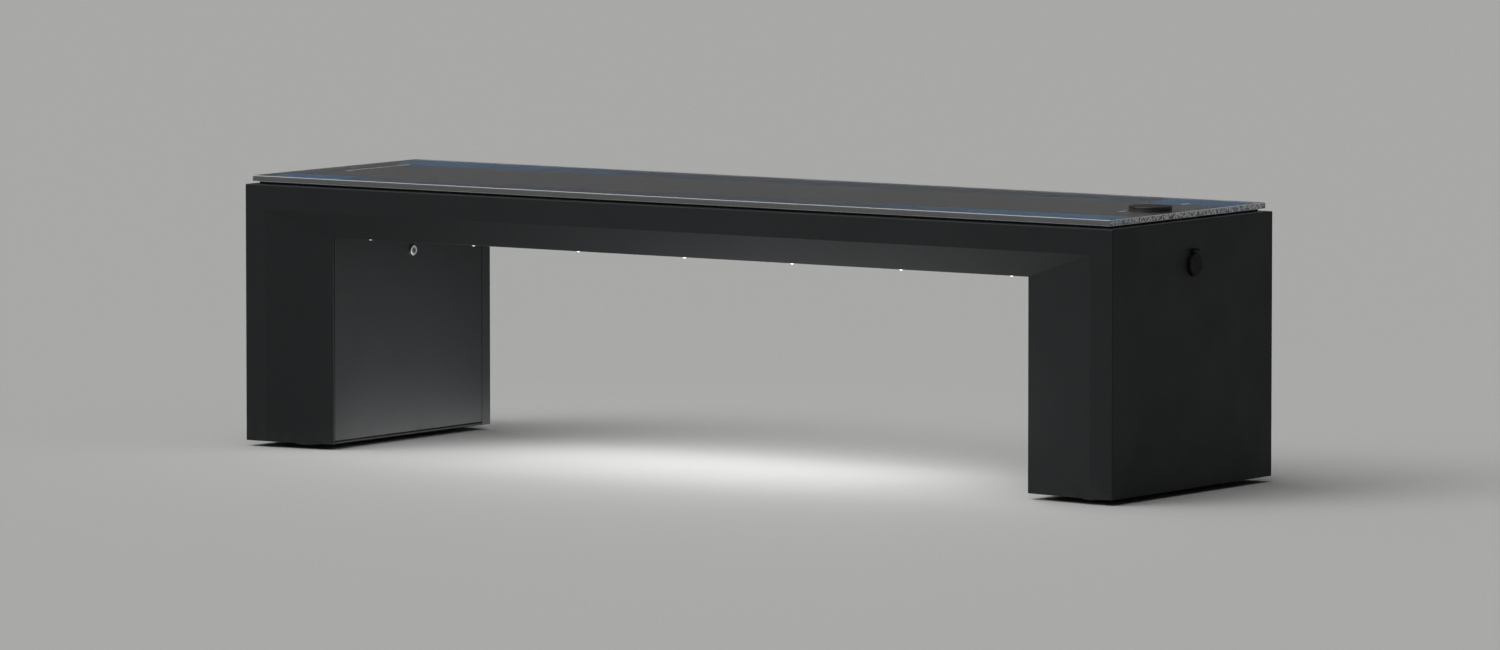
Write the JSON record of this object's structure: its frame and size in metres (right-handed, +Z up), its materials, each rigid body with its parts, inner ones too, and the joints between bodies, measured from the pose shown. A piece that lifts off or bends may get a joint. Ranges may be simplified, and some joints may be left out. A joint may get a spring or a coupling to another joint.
{
  "type": "solar charging bench",
  "caption": "Portal bench in folded steel with a solar glass seat, a wireless charging puck, a capped charging socket, under-seat lights and a lockable service flap in one leg.",
  "frame": {"origin": "on the ground, under the middle of the seat", "axes": "+X along the seat towards the end with the charging socket, -Y towards the front with the lights, +Z up"},
  "size_m": [1.8075, 0.495, 0.48],
  "materials": {
    "powder_coat": "satin anthracite powder coat",
    "zinc_steel": "zinc plated",
    "stainless": "bright drawn",
    "seat_glass": "clear toughened, polished edges",
    "backsheet": "matt black film",
    "solar_cell": "dark blue silicon with fine silver fingers",
    "sealing_rubber": "matt black",
    "black_plastic": "fine textured",
    "coil_copper": "enamelled copper",
    "charger_rubber": "soft matt",
    "light_alloy": "satin",
    "light_lens": "clear diffusing",
    "lock_chrome": "polished",
    "lock_core_metal": "satin",
    "socket_plastic": "moulded black",
    "port_plastic": "moulded dark grey",
    "battery_case": "moulded",
    "strap_webbing": "woven webbing",
    "controller_alloy": "anodised",
    "box_grey": "moulded light grey",
    "lead_sheath": "satin sheath",
    "battery_sheath": "satin sheath",
    "foot_steel": "zinc plated"
  },
  "bodies": {
    "bench": {"front_beam_fascia": "powder_coat", "back_beam_fascia": "powder_coat", "front_left_leg_fascia": "powder_coat", "back_left_leg_fascia": "powder_coat", "front_right_leg_fascia": "powder_coat", "back_right_leg_fascia": "powder_coat", "left_end_panel": "powder_coat", "right_end_panel": "powder_coat", "left_base_plate": "powder_coat", "right_base_plate": "powder_coat", "top_deck": "powder_coat", "beam_underside": "powder_coat", "right_leg_panel": "powder_coat", "left_leg_frame": "powder_coat", "beam_ribs": "zinc_steel", "glass_top": "seat_glass", "solar_backsheet": "backsheet", "front_cell_string": "solar_cell", "back_cell_string": "solar_cell", "edge_tapes": "sealing_rubber", "support_strips": "sealing_rubber", "junction_box": "black_plastic", "charger_base": "black_plastic", "charger_coil": "coil_copper", "charger_cover": "charger_rubber", "charger_nut": "zinc_steel", "light_housings": "light_alloy", "light_lenses": "light_lens", "flap_gaskets": "sealing_rubber", "hinge_frame_leaf": "zinc_steel", "hinge_pin": "stainless", "socket_housing": "socket_plastic", "socket_ring_nut": "socket_plastic", "usb_insert": "port_plastic", "socket_cap_pin": "stainless", "battery_tray": "zinc_steel", "battery": "battery_case", "battery_strap": "strap_webbing", "equipment_plate": "zinc_steel", "charge_controller": "controller_alloy", "control_box": "box_grey", "fuse_holder": "black_plastic", "solar_lead": "lead_sheath", "battery_leads": "battery_sheath", "device_leads": "lead_sheath", "light_lead": "lead_sheath", "lead_clips": "black_plastic"},
    "flap": {"service_flap": "powder_coat", "hinge_flap_leaf": "zinc_steel", "lock_body": "lock_chrome", "lock_nut": "lock_chrome"},
    "lock_core": {"lock_plug": "lock_core_metal", "lock_cam": "zinc_steel", "lock_cam_screw": "zinc_steel"},
    "socket_cap": {"socket_cap": "socket_plastic"},
    "foot_left_front": {"foot_left_front": "foot_steel"},
    "foot_left_back": {"foot_left_back": "foot_steel"},
    "foot_right_front": {"foot_right_front": "foot_steel"},
    "foot_right_back": {"foot_right_back": "foot_steel"}
  },
  "joints": [
    {"name": "flap_hinge", "type": "hinge", "parent": "bench", "child": "flap", "pos_m": [-0.725, 0, 0.013], "axis": [0, 1, 0], "range_deg": [0, 90]},
    {"name": "lock_turn", "type": "hinge", "parent": "flap", "child": "lock_core", "pos_m": [-0.722, 0, 0.3345], "axis": [1, 0, 0], "range_deg": [0, 90]},
    {"name": "cap_hinge", "type": "hinge", "parent": "bench", "child": "socket_cap", "pos_m": [0.90525, 0, 0.4083], "axis": [0, -1, 0], "range_deg": [0, 110]},
    {"name": "foot_left_front_screw", "type": "slide", "parent": "bench", "child": "foot_left_front", "axis": [0, 0, -1], "range_m": [0, 0.01]},
    {"name": "foot_left_back_screw", "type": "slide", "parent": "bench", "child": "foot_left_back", "axis": [0, 0, -1], "range_m": [0, 0.01]},
    {"name": "foot_right_front_screw", "type": "slide", "parent": "bench", "child": "foot_right_front", "axis": [0, 0, -1], "range_m": [0, 0.01]},
    {"name": "foot_right_back_screw", "type": "slide", "parent": "bench", "child": "foot_right_back", "axis": [0, 0, -1], "range_m": [0, 0.01]}
  ]
}
